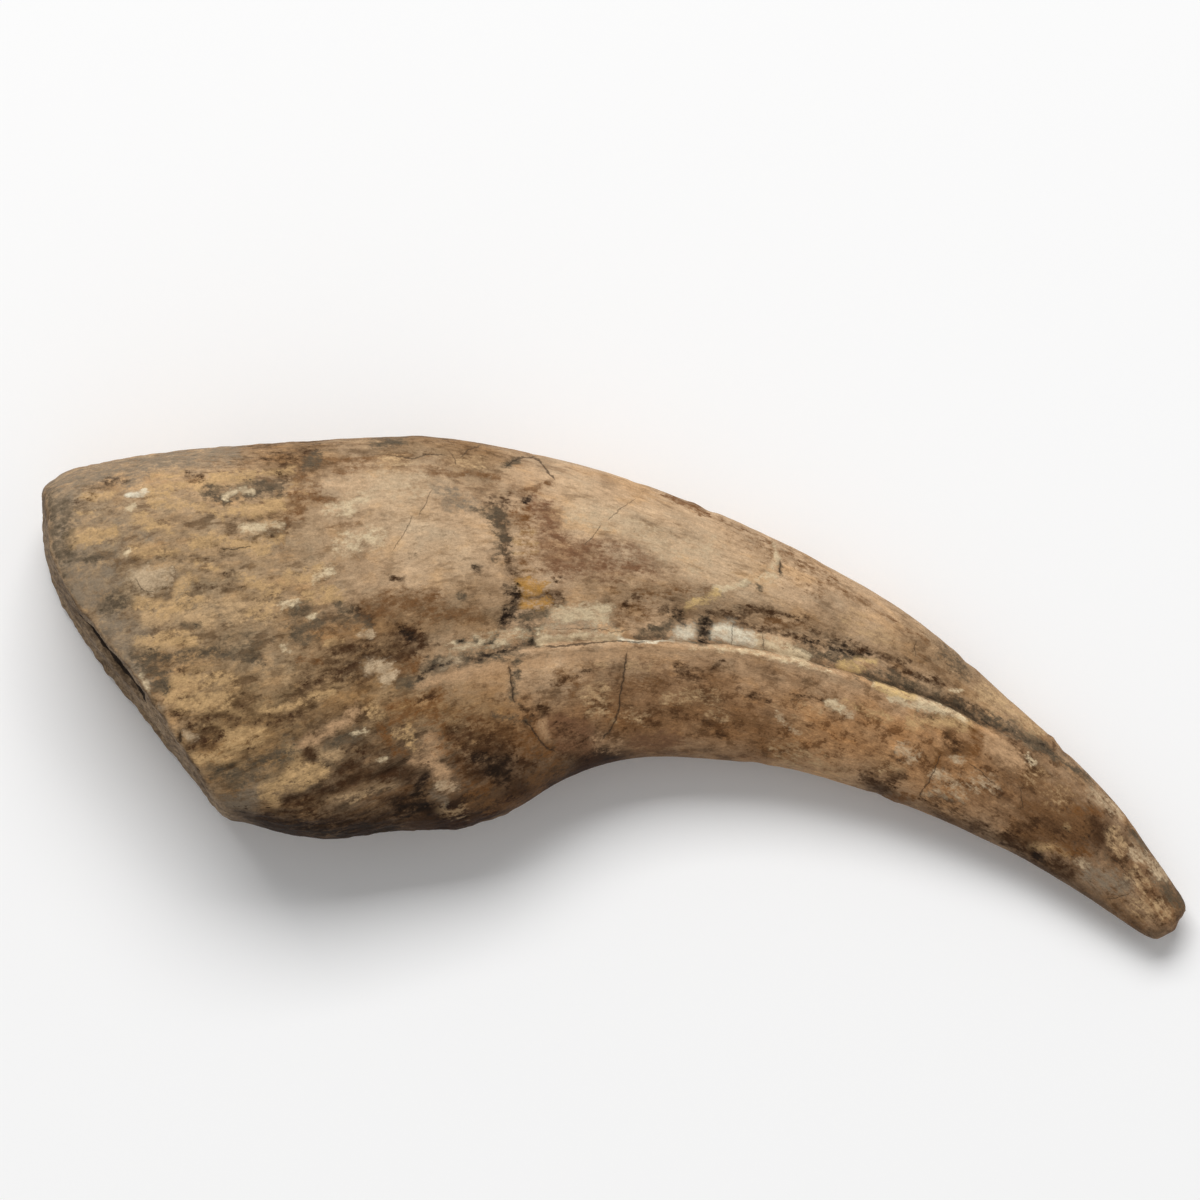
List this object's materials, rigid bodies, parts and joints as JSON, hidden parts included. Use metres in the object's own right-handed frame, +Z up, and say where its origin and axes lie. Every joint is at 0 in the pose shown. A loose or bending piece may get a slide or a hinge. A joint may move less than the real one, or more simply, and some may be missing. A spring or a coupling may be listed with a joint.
{
  "type": "dinosaur fossil claw",
  "caption": "Fossilised hand claw bone of a large meat-eating dinosaur, lying on its side: deep joint end, curved blade with a groove along each side, worn tip.",
  "frame": {"origin": "centre of the bounding box's bottom face, on the surface the claw lies on", "axes": "+X from the joint end towards the tip, +Y towards the upper (dorsal) edge of the claw, +Z up, across the claw's thickness"},
  "size_m": [0.18, 0.0792, 0.0316],
  "materials": {
    "fossil_bone": "mottled brown and grey permineralised bone, fibrous, matt to dull sheen"
  },
  "bodies": {
    "root": {"claw": "fossil_bone"}
  },
  "joints": []
}
